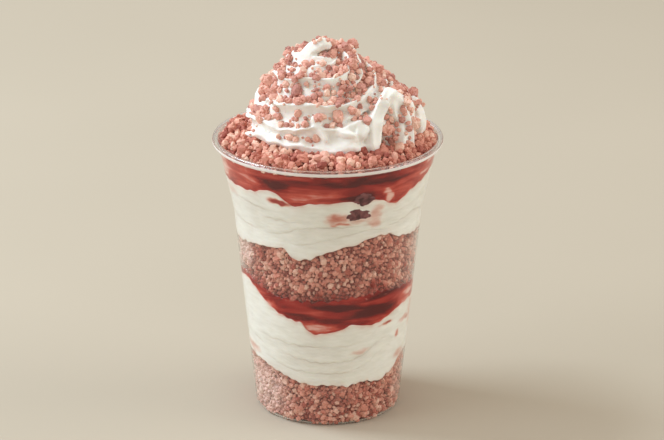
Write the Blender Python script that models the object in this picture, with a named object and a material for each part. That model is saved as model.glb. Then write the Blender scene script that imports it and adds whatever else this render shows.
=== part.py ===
"""Ice cream sundae in a clear cup: crumbs, soft serve, sauce, fruit and a piped swirl of cream.

The origin is the middle of the cup's foot, +Z is up and -Y is the front.
Every layer is a disc that runs right through the cup, with the wavy edges that show at the wall.
Angles go round the cup from the front: 0 is the front, 90 the right side and -90 the left side.
"""

import math

import bmesh
import bpy

MM = 0.001

# ---- the cup -------------------------------------------------------------------------------
CUP_HEIGHT = 121.0 * MM
RIM_RADIUS = 49.0 * MM
WALL = 0.6 * MM
LIP_HEIGHT = 2.6 * MM
LIP_CORNER = 0.8 * MM
MOUTH_RADIUS = 46.6 * MM           # outside of the wall, right under the lip
SHOULDER_RADIUS = 40.3 * MM        # the wall flares more steeply above the shoulder
SHOULDER_HEIGHT = 91.0 * MM
HEEL_HEIGHT = 2.6 * MM
HEEL_RADIUS = 31.3 * MM            # outside of the wall, right above the rounded heel
FOOT_OUTER_RADIUS = 28.9 * MM
FOOT_INNER_RADIUS = 26.0 * MM
RECESS_RADIUS = 24.4 * MM
RECESS_DEPTH = 2.0 * MM
HEEL_STEPS = 3
SHARP_ANGLE = 40                   # degrees between faces from which an edge is shown sharp

# ---- the contents --------------------------------------------------------------------------
GAP = 0.3 * MM                     # left between neighbours, and between them and the wall
SEGMENTS = 48                      # the cup and its contents have facets in line
INNER_RINGS = (0.35, 0.72)         # rings of a layer's faces, as fractions of its radius

# Each boundary at the wall is a level and some humps or dips: (angle, half width, height).
# The level is also its height at the cup's axis.
LOWER_SERVE_FOOT = (26.5 * MM, ((-13, 24, -6.5 * MM), (35, 27, -7.5 * MM)))
MIDDLE_SAUCE_FOOT = (51.0 * MM, ((-68, 20, 10.0 * MM), (-3, 13, -6.5 * MM), (31, 14, -4.0 * MM)))
MIDDLE_CRUMBS_FOOT = (59.0 * MM, ((-72, 26, 4.0 * MM), (35, 30, 2.5 * MM)))
UPPER_SERVE_FOOT = (82.5 * MM, ((-18, 12, -5.5 * MM), (31, 20, 5.0 * MM), (-70, 20, -2.5 * MM)))
UPPER_SAUCE_FOOT = (105.5 * MM, ((-22, 13, -2.0 * MM), (34, 20, -3.5 * MM), (82, 20, 5.0 * MM)))
TOP_CRUMBS_FOOT = (116.2 * MM, ((0, 70, 0.6 * MM), (180, 60, 0.5 * MM)))
SAUCE_MIN = 1.2 * MM               # thinnest part of the middle sauce

HEAP_EDGE = 119.6 * MM             # height of the heaped crumbs at the wall
HEAP_SEAT = 123.0 * MM             # and of their flat middle, where the cream sits on them
SEAT_FRACTION = 0.80
HEAP_RINGS = (0.40, SEAT_FRACTION, 0.91)
CRUMB_RELIEF = 0.5 * MM            # height of the lumps in the heap's slope
LUMPS_ROUND = (11, 4)              # two counts of lumps round the heap that together look uneven

# ---- pieces of strawberry that show at the wall: angle, height, half sizes (across, deep, tall)
STRAWBERRIES = {
    "strawberry_piece_1": (17.5, 99.4 * MM, (6.0 * MM, 4.5 * MM, 2.7 * MM)),
    "strawberry_piece_2": (20.0, 107.3 * MM, (3.8 * MM, 3.6 * MM, 2.6 * MM)),
}
SUNK_PART = 0.45                   # part of a piece's half depth that lies between its middle and the wall

# ---- the whipped cream ---------------------------------------------------------------------
CREAM_RADIUS = 37.4 * MM
CREAM_TOP = 165.0 * MM
CREAM_TUCK = 0.94                  # the lowest turn curls under to this part of its radius
CREAM_TUCK_PART = 0.08             # and has its full radius at this part of the height
CREAM_FULLNESS = (1.9, 0.85)       # how long the sides stay wide, and how blunt the top is
CREAM_RINGS = 26
CREAM_TURNS = 4.0
TURN_DEPTH = 3.2 * MM              # how far each turn of the rope stands out of its grooves
TURN_MIDDLE = 0.75                 # where between groove and crest the outline runs
FLUTES = 9                         # ridges left by the star-shaped nozzle
FLUTE_DEPTH = 0.8 * MM
FLUTE_LEAN = 5.0                   # ridges that the flutes lean over by, from foot to tip
TIP_RADIUS = 0.6 * MM
FOOT_SHIFT = 3.0 * MM              # the swirl's foot sits to the right of the cup's axis
TIP_SHIFT = -2.4 * MM              # and its tip leans to the left


def clear_scene():
    for thing in list(bpy.data.objects):
        bpy.data.objects.remove(thing)


def material(name, colour, roughness, transmission=0.0):
    made = bpy.data.materials.new(name)
    made.use_nodes = True
    shader = made.node_tree.nodes["Principled BSDF"]
    shader.inputs["Base Color"].default_value = (*colour, 1.0)
    shader.inputs["Roughness"].default_value = roughness
    shader.inputs["Transmission Weight"].default_value = transmission
    made.diffuse_color = (*colour, 1.0)
    return made


def place(radius, angle, height):
    """A point at an angle in degrees round the cup, counted from the front."""
    turn = math.radians(angle)
    return (radius * math.sin(turn), -radius * math.cos(turn), height)


def angles():
    return [360.0 * step / SEGMENTS for step in range(SEGMENTS)]


def skin(name, rings, finish, first_pole, last_pole):
    """A closed body: a stack of rings of points, closed by a pole at each end."""
    mesh = bpy.data.meshes.new(name)
    body = bmesh.new()
    loops = [[body.verts.new(point) for point in ring] for ring in rings]
    count = len(loops[0])
    first = body.verts.new(first_pole)
    last = body.verts.new(last_pole)
    for step in range(count):
        after = (step + 1) % count
        body.faces.new((first, loops[0][after], loops[0][step]))
        body.faces.new((last, loops[-1][step], loops[-1][after]))
        for lower, upper in zip(loops, loops[1:]):
            body.faces.new((lower[step], lower[after], upper[after], upper[step]))
    bmesh.ops.recalc_face_normals(body, faces=body.faces)
    bmesh.ops.triangulate(body, faces=body.faces)
    body.to_mesh(mesh)
    body.free()
    mesh.shade_smooth()
    mesh.set_sharp_from_angle(angle=math.radians(SHARP_ANGLE))
    mesh.materials.append(finish)
    made = bpy.data.objects.new(name, mesh)
    bpy.context.collection.objects.link(made)
    return made


# ---- the cup -------------------------------------------------------------------------------
def heel_point(step, inset):
    """A point of the rounded heel; inset moves it in from the cup's outside."""
    turn = math.radians(90.0 * step / HEEL_STEPS)
    across = HEEL_RADIUS - FOOT_OUTER_RADIUS - inset
    up = HEEL_HEIGHT - inset
    return (FOOT_OUTER_RADIUS + across * math.sin(turn), HEEL_HEIGHT - up * math.cos(turn))


def lip_profile():
    """The rolled lip, from the outside of the wall round to its inside."""
    low = CUP_HEIGHT - LIP_HEIGHT
    inner = MOUTH_RADIUS - WALL
    return [
        (MOUTH_RADIUS, low),
        (RIM_RADIUS - LIP_CORNER, low),
        (RIM_RADIUS, low + LIP_CORNER),
        (RIM_RADIUS, CUP_HEIGHT - LIP_CORNER),
        (RIM_RADIUS - LIP_CORNER, CUP_HEIGHT),
        (inner + LIP_CORNER, CUP_HEIGHT),
        (inner, CUP_HEIGHT - LIP_CORNER),
    ]


def cup_profile():
    """Radius and height from the recess under the foot, round the lip, to the floor inside."""
    profile = [(RECESS_RADIUS, RECESS_DEPTH), (FOOT_INNER_RADIUS, 0.0)]
    profile += [heel_point(step, 0.0) for step in range(HEEL_STEPS + 1)]
    profile.append((SHOULDER_RADIUS, SHOULDER_HEIGHT))
    profile += lip_profile()
    profile.append((MOUTH_RADIUS - WALL, CUP_HEIGHT - LIP_HEIGHT))
    profile.append((SHOULDER_RADIUS - WALL, SHOULDER_HEIGHT))
    profile += [heel_point(step, WALL) for step in range(HEEL_STEPS, -1, -1)]
    profile.append((FOOT_INNER_RADIUS, WALL))
    profile.append((RECESS_RADIUS, RECESS_DEPTH + WALL))
    return profile


def build_cup(finish):
    rings = [[place(radius, angle, height) for angle in angles()] for radius, height in cup_profile()]
    return skin("cup", rings, finish, (0, 0, RECESS_DEPTH), (0, 0, RECESS_DEPTH + WALL))


def room(height):
    """The radius left for the contents at a height, with the gap to the wall."""
    if height > CUP_HEIGHT - LIP_HEIGHT:
        outside = MOUTH_RADIUS
    elif height > SHOULDER_HEIGHT:
        part = (height - SHOULDER_HEIGHT) / (CUP_HEIGHT - LIP_HEIGHT - SHOULDER_HEIGHT)
        outside = SHOULDER_RADIUS + part * (MOUTH_RADIUS - SHOULDER_RADIUS)
    else:
        part = (height - HEEL_HEIGHT) / (SHOULDER_HEIGHT - HEEL_HEIGHT)
        outside = HEEL_RADIUS + part * (SHOULDER_RADIUS - HEEL_RADIUS)
    return outside - WALL - GAP


# ---- the layers ----------------------------------------------------------------------------
def hump(angle, centre, half_width, height):
    away = (angle - centre + 180.0) % 360.0 - 180.0
    return height * math.exp(-(away / half_width) ** 2)


def boundary(shape, angle, fraction):
    """Height of a boundary between layers, at a fraction of the way from the axis to the wall."""
    level, humps = shape
    return level + fraction ** 2 * sum(hump(angle, *one) for one in humps)


def middle_sauce_top(angle, fraction):
    foot = boundary(MIDDLE_SAUCE_FOOT, angle, fraction)
    return max(boundary(MIDDLE_CRUMBS_FOOT, angle, fraction), foot + SAUCE_MIN)


def heap_top(angle, fraction):
    """The heaped crumbs: a flat seat for the cream, and a lumpy slope from it down to the wall."""
    slope = max(fraction - SEAT_FRACTION, 0.0) / (1.0 - SEAT_FRACTION)
    many, few = LUMPS_ROUND
    lumps = math.sin(math.radians(angle * many)) * math.cos(math.radians(angle * few))
    return HEAP_SEAT + (HEAP_EDGE - HEAP_SEAT) * slope ** 2 + CRUMB_RELIEF * lumps * slope


def face_ring(height_at, fraction, lift):
    """One ring of a layer's top or bottom face."""
    ring = []
    for angle in angles():
        height = height_at(angle, fraction) + lift
        ring.append(place(room(height) * fraction, angle, height))
    return ring


def layer(name, bottom_at, top_at, finish, side_heights=(), fractions=INNER_RINGS):
    """A disc between two boundaries; it starts one gap above the lower one."""
    rings = [face_ring(bottom_at, fraction, GAP) for fraction in (*fractions, 1.0)]
    for height in side_heights:
        rings.append([place(room(height), angle, height) for angle in angles()])
    rings += [face_ring(top_at, fraction, 0.0) for fraction in (1.0, *reversed(fractions))]
    low_pole = (0, 0, bottom_at(0, 0) + GAP)
    high_pole = (0, 0, top_at(0, 0))
    return skin(name, rings, finish, low_pole, high_pole)


def build_bottom_crumbs(finish):
    """The lowest layer, which also fills the groove inside the foot."""
    floor = RECESS_DEPTH + WALL + GAP
    profile = [(RECESS_RADIUS, floor), (FOOT_INNER_RADIUS, WALL + GAP)]
    profile += [heel_point(step, WALL + GAP) for step in range(HEEL_STEPS + 1)]
    rings = [[place(radius, angle, height) for angle in angles()] for radius, height in profile]
    for fraction in (1.0, *reversed(INNER_RINGS)):
        rings.append(face_ring(lambda angle, part: boundary(LOWER_SERVE_FOOT, angle, part), fraction, 0.0))
    return skin("crumbs_bottom", rings, finish, (0, 0, floor), (0, 0, LOWER_SERVE_FOOT[0]))


def build_layers(crumb, serve, sauce):
    """Everything above the lowest crumbs, up to the heaped crumbs under the cream."""

    def edge(shape):
        return lambda angle, fraction: boundary(shape, angle, fraction)

    layer("soft_serve_lower", edge(LOWER_SERVE_FOOT), edge(MIDDLE_SAUCE_FOOT), serve)
    layer("sauce_middle", edge(MIDDLE_SAUCE_FOOT), middle_sauce_top, sauce)
    layer("crumbs_middle", middle_sauce_top, edge(UPPER_SERVE_FOOT), crumb)
    upper_serve = layer("soft_serve_upper", edge(UPPER_SERVE_FOOT), edge(UPPER_SAUCE_FOOT), serve,
                        side_heights=(SHOULDER_HEIGHT,))
    upper_sauce = layer("sauce_upper", edge(UPPER_SAUCE_FOOT), edge(TOP_CRUMBS_FOOT), sauce)
    layer("crumbs_top", edge(TOP_CRUMBS_FOOT), heap_top, crumb,
          side_heights=(CUP_HEIGHT - LIP_HEIGHT,), fractions=HEAP_RINGS)
    return upper_serve, upper_sauce


# ---- the strawberries ----------------------------------------------------------------------
def chunk(name, where, halves, margin, flat):
    """A rounded piece of fruit, flattened where it lies against the wall if flat is set."""
    angle, height = where
    across, deep, tall = (half + margin for half in halves)
    centre = room(height) - halves[1] * SUNK_PART
    body = bmesh.new()
    bmesh.ops.create_icosphere(body, subdivisions=2, radius=1.0)
    turn = math.radians(angle)
    for vert in body.verts:
        side = vert.co.x * across
        out = centre - vert.co.y * deep
        level = height + vert.co.z * tall
        if flat:
            limit = math.sqrt(room(level) ** 2 - side ** 2) * math.cos(math.pi / SEGMENTS)
            out = min(out, limit)
        vert.co.x = out * math.sin(turn) + side * math.cos(turn)
        vert.co.y = side * math.sin(turn) - out * math.cos(turn)
        vert.co.z = level
    mesh = bpy.data.meshes.new(name)
    body.to_mesh(mesh)
    body.free()
    mesh.shade_smooth()
    made = bpy.data.objects.new(name, mesh)
    bpy.context.collection.objects.link(made)
    return made


def pocket(host, name, where, halves):
    """Cuts the room for a piece of fruit out of the layer that holds it."""
    cutter = chunk(name + "_pocket", where, halves, GAP, False)
    cutter.hide_render = True
    cutter.display_type = "WIRE"
    cut = host.modifiers.new(name, "BOOLEAN")
    cut.operation = "DIFFERENCE"
    cut.solver = "EXACT"
    cut.object = cutter


def build_strawberries(hosts, finish):
    for name, (angle, height, halves) in STRAWBERRIES.items():
        piece = chunk(name, (angle, height), halves, 0.0, True)
        piece.data.materials.append(finish)
        pocket(hosts[name], name, (angle, height), halves)


# ---- the whipped cream ---------------------------------------------------------------------
def cream_radius(part):
    """Outline of the swirl, from its foot at 0 to its tip at 1."""
    wide, blunt = CREAM_FULLNESS
    dome = (1.0 - part ** wide) ** blunt
    tuck = CREAM_TUCK + (1.0 - CREAM_TUCK) * min(part / CREAM_TUCK_PART, 1.0)
    return CREAM_RADIUS * dome * tuck


def cream_point(angle, part, foot):
    """A point of the coiled rope: rounded turns with grooves between, fluted along the rope."""
    height = foot + part * (CREAM_TOP - foot)
    turn = part * CREAM_TURNS + 0.5 - angle / 360.0
    fade = 1.0 - part ** 4
    bulge = TURN_DEPTH * (abs(math.sin(math.pi * turn)) - TURN_MIDDLE) * fade
    flute = FLUTE_DEPTH * math.sin(math.radians(FLUTES * angle) + FLUTE_LEAN * math.tau * part) * fade
    radius = max(cream_radius(part) + bulge + flute, TIP_RADIUS)
    x, y, z = place(radius, angle, height)
    shift = FOOT_SHIFT + (TIP_SHIFT - FOOT_SHIFT) * part
    return (x + shift, y, z)


def build_cream(finish):
    foot = HEAP_SEAT + GAP
    rings = []
    for step in range(CREAM_RINGS):
        part = step / CREAM_RINGS
        rings.append([cream_point(angle, part, foot) for angle in angles()])
    tip = (TIP_SHIFT, 0, CREAM_TOP)
    return skin("whipped_cream", rings, finish, (FOOT_SHIFT, 0, foot), tip)


def main():
    clear_scene()
    clear = material("clear_plastic", (0.93, 0.94, 0.93), 0.05, transmission=1.0)
    crumb = material("pink_crumbs", (0.46, 0.17, 0.12), 0.9)
    serve = material("vanilla_soft_serve", (0.80, 0.76, 0.65), 0.45)
    sauce = material("strawberry_sauce", (0.25, 0.02, 0.015), 0.15)
    fruit = material("strawberry", (0.12, 0.015, 0.015), 0.35)
    cream = material("whipped_cream", (0.86, 0.83, 0.75), 0.5)
    build_cup(clear)
    build_bottom_crumbs(crumb)
    upper_serve, upper_sauce = build_layers(crumb, serve, sauce)
    hosts = {
        "strawberry_piece_1": upper_serve,
        "strawberry_piece_2": upper_sauce,
    }
    build_strawberries(hosts, fruit)
    build_cream(cream)


main()
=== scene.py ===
# %% [markdown]
# # A strawberry sundae in a clear cup
# The real thing is filled by hand: crumbs, soft serve and sauce are laid into a thin clear cup one
# after another, a swirl of whipped cream is piped on top, and more crumbs are scattered over it.
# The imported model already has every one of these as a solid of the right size. This lesson gives
# each of them the surface that the eye expects, and never moves or resizes any of them.

import math

import bmesh
import bpy
import numpy as np
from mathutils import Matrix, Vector, noise
from mathutils.geometry import interpolate_bezier


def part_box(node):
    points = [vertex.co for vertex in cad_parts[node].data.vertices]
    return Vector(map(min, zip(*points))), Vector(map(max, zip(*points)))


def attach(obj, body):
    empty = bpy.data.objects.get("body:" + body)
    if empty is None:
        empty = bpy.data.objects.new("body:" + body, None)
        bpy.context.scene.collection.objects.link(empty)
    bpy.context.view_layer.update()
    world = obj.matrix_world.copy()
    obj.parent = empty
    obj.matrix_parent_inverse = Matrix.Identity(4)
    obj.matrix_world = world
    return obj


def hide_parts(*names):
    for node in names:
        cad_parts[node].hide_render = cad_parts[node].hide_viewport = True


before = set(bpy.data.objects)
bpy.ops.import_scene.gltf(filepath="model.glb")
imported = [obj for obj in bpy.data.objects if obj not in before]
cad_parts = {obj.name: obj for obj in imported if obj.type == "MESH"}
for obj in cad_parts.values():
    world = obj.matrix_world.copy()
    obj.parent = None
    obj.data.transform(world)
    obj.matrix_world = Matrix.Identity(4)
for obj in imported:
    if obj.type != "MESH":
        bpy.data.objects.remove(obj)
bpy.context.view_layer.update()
MM = 0.001
print("nodes:", ", ".join(sorted(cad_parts)))

# %% [markdown]
# ## Small helpers
# Most pieces here are turned shapes, so one helper makes a closed skin from a stack of rings, with
# a pole at each end. The heights and angles of whole rings are handled as numpy arrays, which keeps
# the formulas short. Angles are counted round the cup from the front: 90 is the right side.

# %% Rings, skins and objects
def ring(radius, angle, height):
    """Points at angles in degrees round the axis; every argument may be an array."""
    turn = np.radians(angle)
    radius, turn, height = np.broadcast_arrays(radius, turn, height)
    return np.stack([radius * np.sin(turn), -radius * np.cos(turn), height], axis=-1)


def all_round(count):
    """Angles of evenly spaced points, with the join at the back."""
    return np.arange(count) * 360.0 / count - 180.0


def skin(name, rings, first_pole, last_pole):
    """A closed mesh from rings of points, an array of rings by points by three."""
    rows, count = rings.shape[:2]
    points = [*rings.reshape(-1, 3).tolist(), list(first_pole), list(last_pole)]
    first, last = rows * count, rows * count + 1
    faces = []
    for step in range(count):
        after = (step + 1) % count
        faces.append((first, after, step))
        faces.append((last, (rows - 1) * count + step, (rows - 1) * count + after))
        for row in range(rows - 1):
            low, high = row * count, (row + 1) * count
            faces.append((low + step, low + after, high + after, high + step))
    mesh = bpy.data.meshes.new(name)
    mesh.from_pydata(points, [], faces)
    mesh.update()
    mesh.shade_smooth()
    return mesh


def show(name, mesh, finish):
    """An object for a mesh, linked to the scene, with its material."""
    made = bpy.data.objects.new(name, mesh)
    bpy.context.scene.collection.objects.link(made)
    mesh.materials.clear()
    mesh.materials.append(finish)
    return made


def baked(thing):
    """The object's mesh with its modifiers worked in; the modifiers then go."""
    bpy.context.view_layer.update()
    mesh = bpy.data.meshes.new_from_object(thing.evaluated_get(bpy.context.evaluated_depsgraph_get()))
    thing.modifiers.clear()
    thing.data = mesh
    return mesh


def positions(mesh):
    """All points of a mesh as an array."""
    values = np.zeros(len(mesh.vertices) * 3, np.float32)
    mesh.vertices.foreach_get("co", values)
    return values.reshape(-1, 3).astype(float)


def set_positions(mesh, points):
    mesh.vertices.foreach_set("co", points.astype(np.float32).ravel())
    mesh.update()


def store(mesh, name, values):
    """Keeps one number for each point of a mesh, for a material or a node tree to read."""
    kept = mesh.attributes.get(name) or mesh.attributes.new(name, "FLOAT", "POINT")
    spread = np.broadcast_to(np.asarray(values, np.float32), len(mesh.vertices))
    kept.data.foreach_set("value", np.ascontiguousarray(spread))


def ripple(angle, height, seed, slow=3, fast=9, tilt=120.0):
    """A smooth wandering value between about -1 and 1 that meets itself at the back."""
    dice = np.random.default_rng(seed)
    total = 0.0
    for turns in range(slow, fast + 1):
        start, lean = dice.uniform(0, math.tau), dice.uniform(-tilt, tilt)
        total = total + np.sin(np.radians(turns * angle) + start + lean * height)
    return total / math.sqrt(fast - slow + 1) * 0.8


# %% [markdown]
# ## The cup's wall
# Everything in the cup is fitted to its wall, so the wall comes first, as a function that gives the
# radius at a height. It leans out a little up to a shoulder and flares more steeply above it.
# At the foot it rounds into a flat ring, with a shallow recess inside the ring.

# %% Sizes of the wall
cup_low, cup_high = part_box("cup")
RIM_RADIUS = cup_high.x
CUP_HEIGHT = cup_high.z
WALL = 0.6 * MM
LIP_RADIUS = 1.2 * MM              # of the curl of the lip, at the middle of the sheet
LIP_FOOT = CUP_HEIGHT - 2.6 * MM
MOUTH_RADIUS = RIM_RADIUS - 2.4 * MM
SHOULDER_RADIUS = 40.3 * MM
SHOULDER_HEIGHT = 91.0 * MM
HEEL_RADIUS = 31.3 * MM
HEEL_HEIGHT = 2.6 * MM
FOOT_OUTER_RADIUS = 28.9 * MM
FOOT_INNER_RADIUS = 26.0 * MM
RECESS_RADIUS = 24.4 * MM
RECESS_DEPTH = 2.0 * MM


def outside(height):
    """Outer radius of the wall at a height; the height may be an array."""
    heights = (HEEL_HEIGHT, SHOULDER_HEIGHT - 2 * MM, SHOULDER_HEIGHT + 2 * MM, LIP_FOOT)
    radii = (HEEL_RADIUS, SHOULDER_RADIUS - 0.15 * MM, SHOULDER_RADIUS + 0.6 * MM, MOUTH_RADIUS)
    wall = np.interp(height, heights, radii)
    down = np.clip((HEEL_HEIGHT - np.asarray(height)) / HEEL_HEIGHT, 0.0, 1.0)
    return wall - (HEEL_RADIUS - FOOT_OUTER_RADIUS) * (1.0 - np.sqrt(1.0 - down ** 2))


def inside(height):
    return outside(height) - WALL


print("wall radius at the shoulder: %.1f mm" % (outside(SHOULDER_HEIGHT) / MM))

# %% [markdown]
# ## Clear plastic
# A thin clear plastic is a Principled surface with full transmission and the refraction of plastic.
# Light that has to reach the layers would need a long chain of bent rays, so for shadow rays and
# diffuse rays the plastic is plain see-through: it reaches the contents directly, and the gloss stays.

# %% The clear plastic
def principled(name, colour, roughness):
    """A material with one Principled shader, and that shader."""
    made = bpy.data.materials.new(name)
    made.use_nodes = True
    shader = made.node_tree.nodes["Principled BSDF"]
    shader.inputs["Base Color"].default_value = (*colour, 1.0)
    shader.inputs["Roughness"].default_value = roughness
    return made, shader


def clear_plastic(name, roughness):
    made, shader = principled(name, (0.985, 0.99, 0.985), roughness)
    shader.inputs["Transmission Weight"].default_value = 1.0
    shader.inputs["IOR"].default_value = 1.45
    tree = made.node_tree
    path = tree.nodes.new("ShaderNodeLightPath")
    through = tree.nodes.new("ShaderNodeBsdfTransparent")
    through.inputs["Color"].default_value = (0.97, 0.97, 0.97, 1.0)
    surface = shader.outputs["BSDF"]
    for ray in ("Is Diffuse Ray", "Is Shadow Ray"):
        mix = tree.nodes.new("ShaderNodeMixShader")
        tree.links.new(path.outputs[ray], mix.inputs["Fac"])
        tree.links.new(surface, mix.inputs[1])
        tree.links.new(through.outputs["BSDF"], mix.inputs[2])
        surface = mix.outputs["Shader"]
    tree.links.new(surface, tree.nodes["Material Output"].inputs["Surface"])
    return made


PLASTIC = clear_plastic("clear_plastic", 0.04)
LIP_PLASTIC = clear_plastic("clear_lip", 0.13)


def frost_and_painted_reflection_plastic():
    """The same plastic where it is rolled up: many layers in one place look white. Its diffuse white is partly frost
    and partly painted reflection of the many layers.
    """
    made, shader = principled("rolled_plastic", (0.97, 0.93, 0.90), 0.22)
    shader.inputs["Transmission Weight"].default_value = 0.25
    shader.inputs["IOR"].default_value = 1.45
    tree = made.node_tree
    place = tree.nodes.new("ShaderNodeTexCoord")
    streak = tree.nodes.new("ShaderNodeTexNoise")
    streak.inputs["Scale"].default_value = 90.0
    tree.links.new(place.outputs["Object"], streak.inputs["Vector"])
    bump = tree.nodes.new("ShaderNodeBump")
    bump.inputs["Strength"].default_value = 0.15
    bump.inputs["Distance"].default_value = 0.3 * MM
    tree.links.new(streak.outputs["Fac"], bump.inputs["Height"])
    tree.links.new(bump.outputs["Normal"], shader.inputs["Normal"])
    return made


ROLLED = frost_and_painted_reflection_plastic()

# %% [markdown]
# ## The cup
# The cup is one thin sheet, drawn as the line half way through it and turned round the axis. The
# line ends in the curl of the lip, which is what makes the rim catch the light. A Solidify modifier
# then gives the sheet its thickness, the same everywhere.

# %% Turn the cup
CUP_SEGMENTS = 160


def cup_line():
    """Radius and height along the middle of the sheet, from the recess to the end of the lip."""
    half = WALL / 2
    line = [(r, RECESS_DEPTH + half) for r in np.linspace(4 * MM, RECESS_RADIUS, 5)]
    line += [(RECESS_RADIUS + 0.5 * MM, RECESS_DEPTH - 0.1 * MM), (FOOT_INNER_RADIUS, half)]
    for turn in np.radians(np.arange(0, 91, 15)):
        across = (HEEL_RADIUS - FOOT_OUTER_RADIUS - half) * math.sin(turn)
        line.append((FOOT_OUTER_RADIUS + across, HEEL_HEIGHT - (HEEL_HEIGHT - half) * math.cos(turn)))
    for height in np.linspace(HEEL_HEIGHT + 3 * MM, LIP_FOOT, 40):
        line.append((float(outside(height)) - half, height))
    middle = (MOUTH_RADIUS - half + LIP_RADIUS, CUP_HEIGHT - half - LIP_RADIUS)
    for turn in np.radians(np.arange(180, -76, -15)):
        line.append((middle[0] + LIP_RADIUS * math.cos(turn), middle[1] + LIP_RADIUS * math.sin(turn)))
    return line


def build_cup():
    angle = all_round(CUP_SEGMENTS)
    line = cup_line()
    rows = np.stack([ring(radius, angle, height) for radius, height in line])
    count = CUP_SEGMENTS
    points = [*rows.reshape(-1, 3).tolist(), [0.0, 0.0, line[0][1]]]
    faces = [(len(points) - 1, (step + 1) % count, step) for step in range(count)]
    for row in range(len(line) - 1):
        for step in range(count):
            after = (step + 1) % count
            low, high = row * count, (row + 1) * count
            faces.append((low + step, low + after, high + after, high + step))
    mesh = bpy.data.meshes.new("clear_cup")
    mesh.from_pydata(points, [], faces)
    mesh.shade_smooth()
    cup = show("clear_cup", mesh, PLASTIC)
    sheet = cup.modifiers.new("sheet", "SOLIDIFY")
    sheet.thickness = WALL
    sheet.offset = 0.0
    sheet.use_even_offset = True
    mesh = baked(cup)
    mesh.materials.append(LIP_PLASTIC)
    mesh.materials.append(ROLLED)
    for face in mesh.polygons:
        middle = face.center
        outer_side = math.hypot(middle.x, middle.y) > RIM_RADIUS - 0.5 * MM
        # The outer face of the curl gets the white plastic: partly frost, partly painted reflection.
        if outer_side and middle.z < CUP_HEIGHT - 1.2 * MM:
            face.material_index = 2
        elif middle.z > LIP_FOOT:
            face.material_index = 1
    return cup


cup = build_cup()
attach(cup, "root")
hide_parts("cup")
print("cup:", len(cup.data.vertices), "points")

# %% [markdown]
# ## Where the layers meet
# On the real sundae each layer sags and climbs along the wall, because soft serve is laid down in
# folds and sauce runs into the dips. Each boundary is a level, plus a few smooth humps and dips at
# chosen angles, plus a fine ripple.

# %% Boundaries at the wall
def turned_from(angle, centre):
    """How far each angle lies from a centre, between -180 and 180."""
    return (angle - centre + 180.0) % 360.0 - 180.0


def boundary(level, humps, seed, fine):
    """A function of the angle: a level with humps (angle, half width, rise) and a fine ripple."""
    def height_at(angle):
        total = np.full_like(np.asarray(angle, float), level)
        for centre, half_width, rise in humps:
            total = total + rise * np.exp(-(turned_from(angle, centre) / half_width) ** 2)
        return (total + fine * ripple(angle, 0.0, seed, 12, 60)) * MM
    return height_at


lower_serve_foot = boundary(27.2, [(-9, 36, -7.8), (17, 11, -3.3), (41, 14, -7.4), (56, 6, -3.2)], 1, 0.4)
middle_sauce_foot = boundary(
    51.2, [(-39, 58, 16.8), (-40, 20, -12.2), (-9, 22, -19.0), (30, 20, -8.1), (-19, 5, 2.2), (8, 7, -1.4)], 2, 0.3)
middle_crumbs_foot = boundary(58.5, [(-72, 26, 6.0), (35, 30, 2.5)], 3, 0.7)
upper_serve_foot = boundary(83.0, [(-17, 13, -5.1), (-75, 32, -3.8), (33, 18, 4.8), (-28, 4, 2.6)], 4, 0.45)
upper_sauce_foot = boundary(
    106.0, [(-33, 9, 2.9), (-20, 6, -2.6), (-8, 14, -1.2), (20, 5, -1.8), (41, 9, -4.3), (80, 18, 4.8)], 5, 0.3)
top_crumbs_foot = boundary(117.0, [(-60, 30, 0.4), (30, 40, 0.4)], 6, 0.45)
HEAP_EDGE = 119.6 * MM
HEAP_SEAT = 123.0 * MM
SEAT_RADIUS = 36.6 * MM

# %% [markdown]
# ## Layers that wet the wall
# Soft serve and sauce cling to the plastic, so nothing but plastic lies between them and the eye.
# Their sides therefore end inside the thickness of the wall. Within that thickness the side is still
# free to rise and fall, and that is enough to model the folds of the soft serve: each ribbon lies
# over the one below it, with a crease under its edge. A crease has a course round the wall, just as
# a boundary has, and is deepest at one angle. Each crease is also painted darker in colour: a thin
# broken line of crumb dust, and painted shade that fades down under the ribbon's edge.

# %% Folds and creases
AROUND = 512
PRESS = 0.12 * MM                  # least depth by which a layer ends inside the wall
FOLD_DEPTH = 0.44 * MM


def folds(angle, height, creases):
    """How far back the side lies, from 0 to 1, and how dark its creases are painted: thin dust lines and painted shade
    under each ribbon.
    """
    back, dust = np.zeros_like(height), np.zeros_like(height)
    for index, (level, humps, centre, reach, deep) in enumerate(creases):
        over = (height - boundary(level, humps, 50 + index, 0.3)(angle)) / MM
        here = deep * np.exp(-(turned_from(angle, centre) / reach) ** 4)
        broken = np.clip(0.6 + 0.6 * ripple(angle, 0.0, 70 + index, 3, 14), 0.0, 1.0)
        under = np.where(over < 0, np.exp(over / 2.4), 0.0)
        back = np.maximum(back, here * np.maximum(np.exp(-np.abs(over) / 0.4), 0.62 * under))
        # The dust number is a thin broken line of crumb dust along each crease, plus painted shade that fades down
        # under the ribbon.
        dust = np.maximum(dust, here * np.maximum(broken * np.exp(-(over / 0.32) ** 2), 0.36 * under))
    course = height / MM - boundary(0.0, creases[0][1], 49, 0.5)(angle) / MM
    fine = 0.05 * np.sin(course * 4.1 + 3.0 * ripple(angle, 0.0, 47, 2, 9)) + 0.05 * ripple(angle, height, 48, 2, 14, 900.0)
    return np.clip(back + fine + 0.05, 0.0, 1.0), dust


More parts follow.
